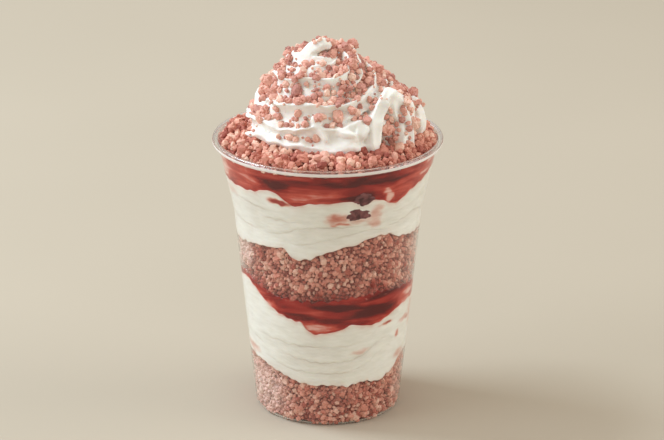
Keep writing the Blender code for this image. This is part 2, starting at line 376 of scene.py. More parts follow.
def side_layer(name, foot_at, top_at, depth_at, finish, row_height=0.4 * MM):
    """A closed disc with a detailed side: depth_at gives how far the side ends inside the wall."""
    angle = all_round(AROUND)
    foot, top = foot_at(angle), top_at(angle)
    rows = max(6, int((top - foot).max() / row_height))
    part = np.linspace(0.0, 1.0, rows)[:, None]
    height = foot + (top - foot) * part
    radius = inside(height) + depth_at(angle[None, :], part, height)
    side = ring(radius, angle[None, :], height)
    low = [ring(radius[0] * part_in, angle, foot + (foot.mean() - foot) * (1 - part_in))
           for part_in in (0.5, 0.9)]
    high = [ring(radius[-1] * part_in, angle, top + (top.mean() - top) * (1 - part_in))
            for part_in in (0.9, 0.5)]
    mesh = skin(name, np.stack([*low, *side, *high]), (0, 0, foot.mean()), (0, 0, top.mean()))
    return show(name, mesh, finish)


def wall_angle(points):
    """The angle round the cup of each point of an array."""
    return np.degrees(np.arctan2(points[:, 0], -points[:, 1]))


def spots(mesh, places):
    """How strongly each point lies in any of some torn patches: (angle, height, half sizes, weight)."""
    points = positions(mesh)
    torn = [noise.noise_vector(Vector(point) * 190.0) * 2.6 + noise.noise_vector(Vector(point) * 520.0) * 1.2
            for point in points]
    points = points + np.array(torn) * (1.0, 1.0, 0.45) * MM
    angle, height = wall_angle(points), points[:, 2] / MM
    total = np.zeros(len(points))
    for centre, level, wide, tall, weight in places:
        spread = (turned_from(angle, centre) / wide) ** 2 + ((height - level) / tall) ** 2
        total = np.maximum(total, weight * np.exp(-spread ** 2))
    return total


# %% [markdown]
# ## Soft serve
# Soft serve is a warm white that lets a little light in, with a soft sheen. Where sauce has seeped
# behind it, it turns pink. The seeped places are kept as a number on the points, and the material
# mixes its pink by that number, broken up with a little noise.

# %% The soft serve's material
def stained(name, clean, roughness, gloss, scatter, mottle):
    """A material that goes from its clean colour through pink to sauce red by the stain number."""
    made, shader = principled(name, clean, roughness)
    tree = made.node_tree
    shader.inputs["Specular IOR Level"].default_value = gloss
    shader.inputs["Subsurface Weight"].default_value = scatter
    shader.inputs["Subsurface Radius"].default_value = (1.0, 0.75, 0.5)
    shader.inputs["Subsurface Scale"].default_value = 1.5 * MM
    place = tree.nodes.new("ShaderNodeTexCoord")
    squeeze = tree.nodes.new("ShaderNodeMapping")
    squeeze.inputs["Scale"].default_value = (1.0, 1.0, 3.0)
    tree.links.new(place.outputs["Object"], squeeze.inputs["Vector"])
    cloud = tree.nodes.new("ShaderNodeTexNoise")
    cloud.inputs["Scale"].default_value = 150.0
    cloud.inputs["Detail"].default_value = 4.0
    tree.links.new(squeeze.outputs["Vector"], cloud.inputs["Vector"])
    seep = tree.nodes.new("ShaderNodeAttribute")
    seep.attribute_name = "stain"
    wide = tree.nodes.new("ShaderNodeMapRange")
    wide.inputs["From Min"].default_value = 0.25
    wide.inputs["From Max"].default_value = 0.75
    wide.inputs["To Min"].default_value = 0.5
    wide.inputs["To Max"].default_value = 1.35
    tree.links.new(cloud.outputs["Fac"], wide.inputs["Value"])
    amount = tree.nodes.new("ShaderNodeMath")
    amount.operation = "MULTIPLY"
    amount.use_clamp = True
    tree.links.new(seep.outputs["Fac"], amount.inputs[0])
    tree.links.new(wide.outputs["Result"], amount.inputs[1])
    ramp = tree.nodes.new("ShaderNodeValToRGB")
    stops = ramp.color_ramp.elements
    stops[0].position, stops[0].color = 0.0, (*clean, 1.0)
    stops[1].position, stops[1].color = 1.0, (0.40, 0.055, 0.045, 1.0)
    for where, colour in ((0.30, (0.80, 0.58, 0.50, 1.0)), (0.60, (0.66, 0.27, 0.20, 1.0))):
        stops.new(where).color = colour
    tree.links.new(amount.outputs["Value"], ramp.inputs["Fac"])
    shadowy = tree.nodes.new("ShaderNodeMapRange")
    shadowy.inputs["From Min"].default_value = 0.35
    shadowy.inputs["From Max"].default_value = 0.70
    shadowy.inputs["To Max"].default_value = mottle
    tree.links.new(cloud.outputs["Fac"], shadowy.inputs["Value"])
    mottled = tree.nodes.new("ShaderNodeMix")
    mottled.data_type = "RGBA"
    mottled.blend_type = "MULTIPLY"
    mottled.inputs["B"].default_value = (0.70, 0.68, 0.62, 1.0)
    tree.links.new(shadowy.outputs["Result"], mottled.inputs["Factor"])
    tree.links.new(ramp.outputs["Color"], mottled.inputs["A"])
    # Crumb dust and painted shade: the dust number darkens the creases to tan, in thin broken lines and in painted
    # shade under each ribbon.
    creases = tree.nodes.new("ShaderNodeAttribute")
    creases.attribute_name = "dust"
    dust_and_painted_shade_mix = tree.nodes.new("ShaderNodeMix")
    dust_and_painted_shade_mix.data_type = "RGBA"
    dust_and_painted_shade_mix.inputs["B"].default_value = (0.42, 0.30, 0.22, 1.0)
    tree.links.new(creases.outputs["Fac"], dust_and_painted_shade_mix.inputs["Factor"])
    tree.links.new(mottled.outputs["Result"], dust_and_painted_shade_mix.inputs["A"])
    tree.links.new(dust_and_painted_shade_mix.outputs["Result"], shader.inputs["Base Color"])
    bump = tree.nodes.new("ShaderNodeBump")
    bump.inputs["Strength"].default_value = 0.12
    bump.inputs["Distance"].default_value = 0.4 * MM
    tree.links.new(cloud.outputs["Fac"], bump.inputs["Height"])
    tree.links.new(bump.outputs["Normal"], shader.inputs["Normal"])
    return made


SERVE = stained("vanilla_soft_serve", (0.87, 0.86, 0.79), 0.5, 0.1, 0.15, 0.35)

# %% Lay in the soft serve
LOWER_CREASES = (                  # each is (level, humps, centre, reach, depth), as for a boundary
    (25.0, [(46, 18, 9.0), (-58, 24, 5.0)], 0, 48, 0.8),
    (30.0, [(44, 18, 8.5), (-50, 25, 5.0)], 8, 40, 1.0),
    (37.6, [(35, 14, 3.0), (-60, 20, 2.0)], -16, 34, 0.85),
    (41.5, [(52, 14, 7.0)], 44, 15, 1.0),
    (34.0, [(-80, 22, 4.0)], -72, 22, 0.7),
    (31.0, [(130, 30, 4.0), (-150, 30, -2.0)], 165, 70, 0.9),
    (39.0, [(150, 25, -3.0), (-120, 30, 3.0)], -160, 80, 0.9),
    (45.0, [(120, 30, 2.0)], 130, 45, 0.8),
)
UPPER_CREASES = (
    (93.6, [(-36, 17, -5.2)], -3, 33, 1.0),
    (95.2, [(-60, 20, 1.0)], -27, 13, 0.9),
    (87.5, [(26, 20, 3.5), (-18, 14, -2.5)], 6, 34, 0.7),
    (99.0, [(-60, 16, 1.5)], -52, 20, 0.75),
    (91.0, [(62, 15, 3.0)], 62, 24, 0.8),
    (97.5, [(70, 15, 3.0)], 64, 20, 0.6),
    (88.0, [(-90, 30, 2.5)], -78, 30, 0.8),
    (90.0, [(150, 30, 3.0), (-140, 30, -2.0)], 170, 75, 0.9),
    (97.0, [(-170, 30, -2.5), (120, 30, 1.5)], -175, 85, 0.9),
)


def build_serve(name, node, foot_at, top_at, creases, stains):
    def depth_at(angle, part, height):
        return PRESS + FOLD_DEPTH * (1.0 - folds(np.broadcast_to(angle, height.shape), height, creases)[0])
    layer = side_layer(name, foot_at, top_at, depth_at, SERVE)
    points = positions(layer.data)
    angle, height = wall_angle(points), points[:, 2]
    seep = 0.34 * np.exp((height - top_at(angle)) / (0.9 * MM)) + 0.16 * np.exp((foot_at(angle) - height) / (0.8 * MM))
    store(layer.data, "stain", np.maximum(spots(layer.data, stains), seep))
    # The dust number: painted shade under each ribbon, thin crumb-dust lines in the creases, and a faint random ripple.
    store(layer.data, "dust", 0.5 * folds(angle, height, creases)[1] + 0.05 * ripple(angle, height, 33, 2, 9, 150.0))
    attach(layer, "root")
    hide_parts(node)
    print(name, len(points), "points")


build_serve("lower_soft_serve", "soft_serve_lower", lower_serve_foot, middle_sauce_foot, LOWER_CREASES, (
    (79, 44, 6, 6, 0.5), (59, 38.5, 3.0, 1.3, 0.75), (68, 43.0, 9.0, 1.2, 0.45), (24, 34.8, 7.0, 1.1, 0.3),
    (45, 45.0, 6.0, 0.8, 0.8), (-70, 29.5, 12, 2.4, 0.35), (64, 28, 9, 2.0, 0.3), (-28, 51.0, 10, 1.2, 0.45)))
build_serve("upper_soft_serve", "soft_serve_upper", upper_serve_foot, upper_sauce_foot, UPPER_CREASES, (
    (5.5, 97.6, 6.5, 2.8, 0.55), (29.0, 99.0, 5.0, 4.5, 0.42), (28, 94.5, 4.5, 2.2, 0.42),
    (8.0, 94.9, 5.0, 0.8, 0.75), (-27.5, 104.3, 7.5, 1.2, 1.1), (18, 97.5, 12, 2.2, 0.34),
    (-72, 102.0, 10, 2.0, 0.2)))

# %% [markdown]
# ## Sauce
# The sauce is a deep red syrup. Against the wall it is darkest where it is thick and turns to a
# thin orange red where it only films the plastic, so its colour follows long level streaks. The
# Object coordinates are squeezed along Z to draw a noise out into such streaks.

# %% The sauce's material
def sauce_material():
    made, shader = principled("strawberry_sauce", (0.3, 0.03, 0.02), 0.25)
    shader.inputs["Specular IOR Level"].default_value = 0.15
    tree = made.node_tree
    place = tree.nodes.new("ShaderNodeTexCoord")
    squeeze = tree.nodes.new("ShaderNodeMapping")
    squeeze.inputs["Scale"].default_value = (1.0, 1.0, 6.0)
    tree.links.new(place.outputs["Object"], squeeze.inputs["Vector"])
    streak = tree.nodes.new("ShaderNodeTexNoise")
    streak.inputs["Scale"].default_value = 55.0
    streak.inputs["Detail"].default_value = 5.0
    streak.inputs["Distortion"].default_value = 0.6
    tree.links.new(squeeze.outputs["Vector"], streak.inputs["Vector"])
    thin = tree.nodes.new("ShaderNodeAttribute")
    thin.attribute_name = "thin"
    add = tree.nodes.new("ShaderNodeMath")
    add.operation = "ADD"
    tree.links.new(streak.outputs["Fac"], add.inputs[0])
    tree.links.new(thin.outputs["Fac"], add.inputs[1])
    ramp = tree.nodes.new("ShaderNodeValToRGB")
    stops = ramp.color_ramp.elements
    stops[0].position, stops[0].color = 0.30, (0.09, 0.007, 0.008, 1.0)
    stops[1].position, stops[1].color = 0.52, (0.31, 0.018, 0.014, 1.0)
    for where, colour in ((0.75, (0.56, 0.085, 0.055, 1.0)), (0.98, (0.80, 0.50, 0.42, 1.0))):
        stops.new(where).color = colour
    tree.links.new(add.outputs["Value"], ramp.inputs["Fac"])
    tree.links.new(ramp.outputs["Color"], shader.inputs["Base Color"])
    return made


SAUCE = sauce_material()

# %% Pour the sauce
def sauce_depth(angle, part, height):
    return PRESS + 0.10 * MM * (1.0 + ripple(angle, part, 21, 3, 12, 4.0)) + 0.05 * MM


def middle_sauce_top(angle):
    return np.maximum(middle_crumbs_foot(angle), middle_sauce_foot(angle) + 1.2 * MM)


def build_sauce(name, node, foot_at, top_at, thin_places, thick_places):
    layer = side_layer(name, foot_at, top_at, sauce_depth, SAUCE)
    points = positions(layer.data)
    angle, height = wall_angle(points), points[:, 2]
    edge = 0.22 * np.exp((foot_at(angle) - height) / (0.7 * MM))
    thick = spots(layer.data, thick_places)
    store(layer.data, "thin", np.maximum(spots(layer.data, thin_places), edge) - thick)
    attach(layer, "root")
    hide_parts(node)
    print(name, len(points), "points")


build_sauce("middle_sauce", "sauce_middle", middle_sauce_foot, middle_sauce_top, (
    (-5, 46.6, 13, 2.6, 0.26), (-48, 54.5, 13, 2.0, 0.5), (66, 53, 9, 5.0, 0.3), (20, 50, 8, 2.0, 0.12)), (
    (30, 53, 16, 3.5, 0.25), (10, 56, 20, 2.0, 0.2)))
build_sauce("upper_sauce", "sauce_upper", upper_sauce_foot, top_crumbs_foot, (
    (-78, 112, 20, 6.0, 0.42), (-112, 111, 30, 8.0, 0.2), (-54, 111.0, 13, 5.0, 0.26), (72, 113, 20, 5.0, 0.30),
    (-6, 107.0, 24, 2.4, 0.17), (35, 106.0, 3.0, 3.8, 0.45), (45, 109, 12, 3.0, 0.16)), (
    (-29, 111.6, 7, 2.6, 0.30), (16, 109.0, 9, 3.0, 0.2), (20, 114.5, 30, 1.8, 0.18)))

# %% [markdown]
# ## Pieces of strawberry
# Two dark, ragged pieces of cooked fruit lie against the wall. Each starts as a sphere, is pushed
# about with noise until it looks torn, and is then pressed flat against the inside of the wall.

# %% Press in the fruit
def fruit_material():
    made, shader = principled("strawberry", (0.1, 0.015, 0.015), 0.4)
    shader.inputs["Specular IOR Level"].default_value = 0.2
    tree = made.node_tree
    place = tree.nodes.new("ShaderNodeTexCoord")
    flesh = tree.nodes.new("ShaderNodeTexNoise")
    flesh.inputs["Scale"].default_value = 420.0
    flesh.inputs["Detail"].default_value = 3.0
    tree.links.new(place.outputs["Object"], flesh.inputs["Vector"])
    ramp = tree.nodes.new("ShaderNodeValToRGB")
    stops = ramp.color_ramp.elements
    stops[0].position, stops[0].color = 0.35, (0.055, 0.010, 0.014, 1.0)
    stops[1].position, stops[1].color = 0.70, (0.26, 0.085, 0.085, 1.0)
    tree.links.new(flesh.outputs["Fac"], ramp.inputs["Fac"])
    tree.links.new(ramp.outputs["Color"], shader.inputs["Base Color"])
    return made


FRUIT = fruit_material()
FRUIT_REACH = 0.57 * MM            # the fruit lies closest of all to the outside of the wall


def build_fruit(name, angle, height, across, deep, tall, seed):
    body = bmesh.new()
    bmesh.ops.create_icosphere(body, subdivisions=5, radius=1.0)
    centre = float(inside(height)) - 0.45 * deep
    turn = math.radians(angle)
    for vert in body.verts:
        torn = 1.0 + 0.34 * noise.noise(vert.co * 1.6 + Vector((seed, 0, 0)))
        torn += 0.16 * noise.noise(vert.co * 4.5 + Vector((0, seed, 0)))
        torn += 0.07 * noise.noise(vert.co * 12.0 + Vector((0, 0, seed)))
        side = vert.co.x * across * torn
        level = height + vert.co.z * tall * torn
        out = min(centre - vert.co.y * deep * torn, math.sqrt(float(inside(level) + FRUIT_REACH) ** 2 - side ** 2))
        vert.co = (out * math.sin(turn) + side * math.cos(turn), side * math.sin(turn) - out * math.cos(turn), level)
    mesh = bpy.data.meshes.new(name)
    body.to_mesh(mesh)
    body.free()
    mesh.shade_smooth()
    return show(name, mesh, FRUIT)


for name, node, place in (
    ("strawberry_at_wall", "strawberry_piece_1", (17.5, 99.4 * MM, 6.2 * MM, 4.5 * MM, 2.8 * MM, 3.0)),
    ("strawberry_in_sauce", "strawberry_piece_2", (20.0, 106.6 * MM, 4.4 * MM, 3.6 * MM, 3.2 * MM, 8.0)),
):
    piece = build_fruit(name, *place)
    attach(piece, "root")
    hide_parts(node)

# %% [markdown]
# ## One recipe for crumbs
# There are thousands of crumbs: pressed against the wall, heaped under the rim and sprinkled over
# the cream. One Geometry Nodes tree makes them all. It spreads points over a surface, no closer
# together than a spacing, puts one of a few lumpy shapes on each with a random turn and size, and
# keeps a random number on every crumb so that no two have quite the same colour.

# %% The crumb tree
CRUMB_SHAPES = 8


def crumb_tree():
    tree = bpy.data.node_groups.new("crumbs", "GeometryNodeTree")
    sockets = tree.interface
    sockets.new_socket("Geometry", in_out="INPUT", socket_type="NodeSocketGeometry")
    for label, value in (("Spacing", 1.5 * MM), ("Smallest", 0.7 * MM), ("Largest", 1.6 * MM), ("Lift", 0.0)):
        sockets.new_socket(label, in_out="INPUT", socket_type="NodeSocketFloat").default_value = value
    sockets.new_socket("Seed", in_out="INPUT", socket_type="NodeSocketInt").default_value = 1
    sockets.new_socket("Fineness", in_out="INPUT", socket_type="NodeSocketInt").default_value = 2
    sockets.new_socket("Material", in_out="INPUT", socket_type="NodeSocketMaterial")
    sockets.new_socket("Geometry", in_out="OUTPUT", socket_type="NodeSocketGeometry")
    given = tree.nodes.new("NodeGroupInput").outputs
    result = tree.nodes.new("NodeGroupOutput").inputs

    spread = tree.nodes.new("GeometryNodeDistributePointsOnFaces")
    spread.distribute_method = "POISSON"
    spread.inputs["Density Max"].default_value = 3.0e6
    cover = tree.nodes.new("GeometryNodeInputNamedAttribute")
    cover.data_type = "FLOAT"
    cover.inputs["Name"].default_value = "cover"
    tree.links.new(given["Geometry"], spread.inputs["Mesh"])
    tree.links.new(given["Spacing"], spread.inputs["Distance Min"])
    tree.links.new(cover.outputs["Attribute"], spread.inputs["Density Factor"])
    tree.links.new(given["Seed"], spread.inputs["Seed"])

    raise_up = tree.nodes.new("ShaderNodeVectorMath")
    raise_up.operation = "SCALE"
    tree.links.new(spread.outputs["Normal"], raise_up.inputs["Vector"])
    tree.links.new(given["Lift"], raise_up.inputs["Scale"])
    lifted = tree.nodes.new("GeometryNodeSetPosition")
    tree.links.new(spread.outputs["Points"], lifted.inputs["Geometry"])
    tree.links.new(raise_up.outputs["Vector"], lifted.inputs["Offset"])

    shapes = tree.nodes.new("GeometryNodeGeometryToInstance")
    for index in range(CRUMB_SHAPES):
        tree.links.new(crumb_shape(tree, index, given["Fineness"]), shapes.inputs["Geometry"])

    def dice(kind, low, high, salt):
        roll = tree.nodes.new("FunctionNodeRandomValue")
        roll.data_type = kind
        sort = {"FLOAT": 2, "INT": 4, "FLOAT_VECTOR": 0}[kind]
        if low is not None:
            roll.inputs[sort].default_value = low
            roll.inputs[sort + 1].default_value = high
        roll.inputs["Seed"].default_value = salt
        return roll

    turn = dice("FLOAT_VECTOR", (0.0, 0.0, 0.0), (math.tau,) * 3, 11)
    pick = dice("INT", 0, CRUMB_SHAPES - 1, 12)
    chance = dice("FLOAT", 0.0, 1.0, 13)
    skewed = tree.nodes.new("ShaderNodeMath")
    skewed.operation = "POWER"
    skewed.inputs[1].default_value = 1.8
    tree.links.new(chance.outputs["Value"], skewed.inputs[0])
    size = tree.nodes.new("ShaderNodeMapRange")
    tree.links.new(skewed.outputs["Value"], size.inputs["Value"])
    tree.links.new(given["Smallest"], size.inputs["To Min"])
    tree.links.new(given["Largest"], size.inputs["To Max"])

    squash = dice("FLOAT_VECTOR", (0.7, 0.7, 0.7), (1.15, 1.15, 1.15), 15)
    stretched = tree.nodes.new("ShaderNodeVectorMath")
    stretched.operation = "SCALE"
    tree.links.new(squash.outputs[0], stretched.inputs["Vector"])
    tree.links.new(size.outputs["Result"], stretched.inputs["Scale"])

    put = tree.nodes.new("GeometryNodeInstanceOnPoints")
    put.inputs["Pick Instance"].default_value = True
    tree.links.new(lifted.outputs["Geometry"], put.inputs["Points"])
    tree.links.new(shapes.outputs["Instances"], put.inputs["Instance"])
    tree.links.new(pick.outputs[2], put.inputs["Instance Index"])
    tree.links.new(turn.outputs[0], put.inputs["Rotation"])
    tree.links.new(stretched.outputs["Vector"], put.inputs["Scale"])

    shade = dice("FLOAT", 0.0, 1.0, 14)
    keep = tree.nodes.new("GeometryNodeStoreNamedAttribute")
    keep.data_type = "FLOAT"
    keep.domain = "INSTANCE"
    keep.inputs["Name"].default_value = "shade"
    tree.links.new(put.outputs["Instances"], keep.inputs["Geometry"])
    tree.links.new(shade.outputs[1], keep.inputs["Value"])
    real = tree.nodes.new("GeometryNodeRealizeInstances")
    tree.links.new(keep.outputs["Geometry"], real.inputs["Geometry"])
    facets = tree.nodes.new("GeometryNodeSetShadeSmooth")
    facets.inputs["Shade Smooth"].default_value = False
    tree.links.new(real.outputs["Geometry"], facets.inputs["Geometry"])
    paint = tree.nodes.new("GeometryNodeSetMaterial")
    tree.links.new(facets.outputs["Geometry"], paint.inputs["Geometry"])
    tree.links.new(given["Material"], paint.inputs["Material"])
    tree.links.new(paint.outputs["Geometry"], result["Geometry"])
    return tree


def crumb_shape(tree, index, fineness):
    """One lumpy shape of about unit radius: a coarse ball pushed about by noise."""
    ball = tree.nodes.new("GeometryNodeMeshIcoSphere")
    ball.inputs["Radius"].default_value = 1.0
    tree.links.new(fineness, ball.inputs["Subdivisions"])
    lumps = tree.nodes.new("ShaderNodeTexNoise")
    lumps.noise_dimensions = "4D"
    lumps.inputs["Scale"].default_value = 1.5
    lumps.inputs["Detail"].default_value = 3.0
    lumps.inputs["W"].default_value = 5.3 * index + 1.7
    centred = tree.nodes.new("ShaderNodeVectorMath")
    centred.operation = "SUBTRACT"
    centred.inputs[1].default_value = (0.5, 0.5, 0.5)
    tree.links.new(lumps.outputs["Color"], centred.inputs[0])
    stronger = tree.nodes.new("ShaderNodeVectorMath")
    stronger.operation = "SCALE"
    stronger.inputs["Scale"].default_value = 2.0
    tree.links.new(centred.outputs["Vector"], stronger.inputs["Vector"])
    pushed = tree.nodes.new("GeometryNodeSetPosition")
    tree.links.new(ball.outputs["Mesh"], pushed.inputs["Geometry"])
    tree.links.new(stronger.outputs["Vector"], pushed.inputs["Offset"])
    return pushed.outputs["Geometry"]


CRUMBS = crumb_tree()
INPUTS = {item.name: item.identifier for item in CRUMBS.interface.items_tree if item.in_out == "INPUT"}


def sprinkle(name, surface, finish, spacing, smallest, largest, seed, lift=0.0, fineness=2):
    """Crumbs over a surface, denser where its cover number is higher, as one plain mesh."""
    holder = bpy.data.objects.new(name, surface.copy())
    bpy.context.scene.collection.objects.link(holder)
    recipe = holder.modifiers.new("crumbs", "NODES")
    recipe.node_group = CRUMBS
    for label, value in (("Spacing", spacing), ("Smallest", smallest), ("Largest", largest),
                         ("Lift", lift), ("Seed", seed), ("Fineness", fineness), ("Material", finish)):
        recipe[INPUTS[label]] = value
    baked(holder)
    print(name, len(holder.data.polygons) // (20 * 4 ** (fineness - 1)), "crumbs")
    return holder


# %% [markdown]
# ## The crumbs' material
# The crumbs are baked, dry and pink: every one is matt and full of small holes. A colour ramp reads
# the number that each crumb carries. Where crumbs are soaked with sauce, a second number turns them
# darker and redder; on the dark cores behind the crumbs the same number is painted shade. A third
# number mixes in a pale pink: cream smeared on the crumbs, and painted reflection at the cup's sides.
# Fine noise makes the porous surface.

# %% Pink crumbs
def crumb_material():
    made, shader = principled("pink_crumbs", (0.5, 0.2, 0.15), 0.9)
    shader.inputs["Specular IOR Level"].default_value = 0.2
    shader.inputs["Subsurface Weight"].default_value = 0.0
    tree = made.node_tree
    own = tree.nodes.new("ShaderNodeAttribute")
    own.attribute_name = "shade"
    place = tree.nodes.new("ShaderNodeTexCoord")
    pores = tree.nodes.new("ShaderNodeTexNoise")
    pores.inputs["Scale"].default_value = 1100.0
    pores.inputs["Detail"].default_value = 3.0
    tree.links.new(place.outputs["Object"], pores.inputs["Vector"])
    blend = tree.nodes.new("ShaderNodeMix")
    blend.data_type = "FLOAT"
    blend.inputs["Factor"].default_value = 0.40
    tree.links.new(own.outputs["Fac"], blend.inputs["A"])
    tree.links.new(pores.outputs["Fac"], blend.inputs["B"])
    ramp = tree.nodes.new("ShaderNodeValToRGB")
    stops = ramp.color_ramp.elements
    stops[0].position, stops[0].color = 0.14, (0.30, 0.060, 0.045, 1.0)
    stops[1].position, stops[1].color = 0.38, (0.62, 0.235, 0.170, 1.0)
    for where, colour in ((0.62, (0.80, 0.39, 0.29, 1.0)), (0.86, (0.93, 0.68, 0.54, 1.0))):
        stops.new(where).color = colour
    tree.links.new(blend.outputs["Result"], ramp.inputs["Fac"])
    # Soaked with sauce on the crumbs, painted shade on the cores: this number makes them darker and redder.
    soak_and_painted_shade = tree.nodes.new("ShaderNodeAttribute")
    soak_and_painted_shade.attribute_name = "soak_and_painted_shade"
    wet = tree.nodes.new("ShaderNodeMix")
    wet.data_type = "RGBA"
    wet.blend_type = "MULTIPLY"
    wet.inputs["B"].default_value = (0.50, 0.20, 0.20, 1.0)
    tree.links.new(soak_and_painted_shade.outputs["Fac"], wet.inputs["Factor"])
    tree.links.new(ramp.outputs["Color"], wet.inputs["A"])
    # The milk number mixes in pale pink: cream smeared on the crumbs, and painted reflection at the cup's left and
    # right sides, where the wall is seen edge-on.
    milk_and_reflection_attribute = tree.nodes.new("ShaderNodeAttribute")
    milk_and_reflection_attribute.attribute_name = "milk_and_painted_reflection"
    milk_and_reflection_mix = tree.nodes.new("ShaderNodeMix")
    milk_and_reflection_mix.data_type = "RGBA"
    milk_and_reflection_mix.inputs["B"].default_value = (0.90, 0.73, 0.66, 1.0)
    tree.links.new(milk_and_reflection_attribute.outputs["Fac"], milk_and_reflection_mix.inputs["Factor"])
    tree.links.new(wet.outputs["Result"], milk_and_reflection_mix.inputs["A"])
    tree.links.new(milk_and_reflection_mix.outputs["Result"], shader.inputs["Base Color"])
    bump = tree.nodes.new("ShaderNodeBump")
    bump.inputs["Strength"].default_value = 0.7
    bump.inputs["Distance"].default_value = 0.35 * MM
    tree.links.new(pores.outputs["Fac"], bump.inputs["Height"])
    tree.links.new(bump.outputs["Normal"], shader.inputs["Normal"])
    return made


CRUMB = crumb_material()

# %% [markdown]
# ## Crumbs pressed against the wall
# A layer of crumbs is a core that stops short of the wall, painted dark as painted shade in the gaps
# between the crumbs, and covered with real crumbs that reach it. Those that would poke through are
# pressed flat, just inside the plastic, as real ones are.

# %% Cores and their crumbs
CORE_BACK = 1.4 * MM
CRUMB_REACH = 0.35 * MM


def core_depth(angle, part, height):
    return -CORE_BACK + 0.25 * MM * ripple(angle, part, 31, 20, 60, 30.0)


def press_flat(mesh):
    """Moves every point that would poke through the wall back to just inside it."""
    points = positions(mesh)
    radius = np.hypot(points[:, 0], points[:, 1])
    limit = inside(np.clip(points[:, 2], 0.7 * MM, CUP_HEIGHT)) + CRUMB_REACH
    shrink = np.minimum(1.0, limit / np.maximum(radius, MM))
    points[:, :2] *= shrink[:, None]
    points[:, 2] = np.maximum(points[:, 2], 0.35 * MM)
    set_positions(mesh, points)


def set_cover(core, foot_at, top_at, edge):
    """Crumbs go only on the core's side, a little inside its upper and lower edge."""
    points = positions(core)
    angle, height = wall_angle(points), points[:, 2]
    near_wall = np.hypot(points[:, 0], points[:, 1]) > inside(height) - 2.2 * MM
    within = (height > foot_at(angle) + edge) & (height < top_at(angle) - edge)
    store(core, "cover", (near_wall & within).astype(float))


def crumb_layer(name, node, foot_at, top_at, seed, spacing):
    core = side_layer(name + "_core", foot_at, top_at, core_depth, CRUMB, 1.0 * MM)
    # The core is painted dark red brown: painted shade in the gaps between the crumbs.
    store(core.data, "shade", np.full(len(core.data.vertices), 0.12))
    set_cover(core.data, foot_at, top_at, 0.5 * MM)
    crumbs = sprinkle(name, core.data, CRUMB, spacing, 0.75 * MM, 1.65 * MM, seed, 0.3 * MM)
    press_flat(crumbs.data)
    for piece in (core, crumbs):
        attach(piece, "root")
        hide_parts(node)
    return core, crumbs


def floor_height(angle):
    return np.full_like(np.asarray(angle, float), 0.75 * MM)


bottom_core, bottom_crumbs = crumb_layer("bottom_crumbs", "crumbs_bottom", floor_height, lower_serve_foot, 5, 1.55 * MM)
middle_core, middle_crumbs = crumb_layer(
    "middle_crumbs", "crumbs_middle", lambda angle: middle_crumbs_foot(angle) - 2.0 * MM, upper_serve_foot, 6, 1.66 * MM)
for piece in (bottom_core, bottom_crumbs, middle_core, middle_crumbs):
    points = positions(piece.data)
    over = (points[:, 2] - middle_crumbs_foot(wall_angle(points))) / MM
    patches = ripple(wall_angle(points), points[:, 2], 61, 4, 18, 300.0)
    wet = np.clip(1.0 - (over - 0.5) / 6.0 + 0.5 * patches, 0.0, 1.0) if "middle" in piece.name else 0.0
    # The cores are soaked to 0.85, which paints them dark: painted shade in the gaps between the crumbs. The crumbs are
    # soaked a little all over, the middle ones more near the sauce.
    store(piece.data, "soak_and_painted_shade", np.maximum(wet, 0.85 if "core" in piece.name else 0.26))
    # Pale patches at the cup's left and right: painted reflection of the wall seen edge-on, with some smeared cream.
    store(piece.data, "milk_and_painted_reflection", spots(piece.data, (
        (-66, 76, 10, 8, 0.6), (-84, 70, 16, 10, 0.45), (74, 78, 9, 4, 0.25),
        (-58, 13, 26, 13, 0.55), (70, 14, 10, 9, 0.25))))

# %% [markdown]
# ## The heap under the cream
# Above the sauce lies a thick ring of loose crumbs, level with the rim at the wall and higher next
# to the cream. It gets a lumpy core with two helpings of crumbs: an even bed and some larger ones.

# %% The heaped ring
def heap_surface():
    angle = all_round(360)
    rows = []
    foot = top_crumbs_foot(angle)
    for part in (0.5, 0.9, 1.0):
        rows.append(ring((inside(foot) - 0.6 * MM) * part, angle, foot))
    edge = inside(HEAP_EDGE) - 0.8 * MM
    rows.append(ring(edge, angle, HEAP_EDGE - 1.4 * MM))
    for radius in np.linspace(edge - 0.5 * MM, SEAT_RADIUS - 12 * MM, 24):
        slope = np.clip((radius - SEAT_RADIUS) / (edge - SEAT_RADIUS), 0.0, 1.0)
        lumps = 0.4 * MM * ripple(angle, radius, 41, 12, 50, 2500.0)
        rows.append(ring(radius, angle, HEAP_SEAT - 1.4 * MM + (HEAP_EDGE - HEAP_SEAT) * slope ** 2 + lumps))
    return skin("top_crumbs_core", np.stack(rows), (0, 0, foot.mean()), (0, 0, HEAP_SEAT - 1.4 * MM))


heap = show("top_crumbs_core", heap_surface(), CRUMB)
heap_points = positions(heap.data)
heap_radius = np.hypot(heap_points[:, 0], heap_points[:, 1])
# The heap's core is painted dark red brown: painted shade in the gaps between the crumbs.
store(heap.data, "shade", 0.05)
store(heap.data, "soak_and_painted_shade", 0.6)
store(heap.data, "cover", (heap_radius > SEAT_RADIUS - 12 * MM) & (heap_points[:, 2] > 117.8 * MM))
bed = sprinkle("top_crumbs_bed", heap.data, CRUMB, 1.85 * MM, 0.85 * MM, 1.7 * MM, 7, 0.5 * MM)
store(heap.data, "cover", (heap_radius > SEAT_RADIUS - 9 * MM) & (heap_points[:, 2] > 119.0 * MM))
loose = sprinkle("top_crumbs_loose", heap.data, CRUMB, 3.0 * MM, 1.1 * MM, 2.5 * MM, 8, 1.7 * MM)
for piece in (heap, bed, loose):
    if piece is not heap:
        store(piece.data, "soak_and_painted_shade", np.clip(0.28 * ripple(wall_angle(positions(piece.data)), 0.0, 63, 5, 30), 0.0, 0.5))
        store(piece.data, "milk_and_painted_reflection", 0.03)
    press_flat(piece.data)
    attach(piece, "root")
    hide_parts("crumbs_top")

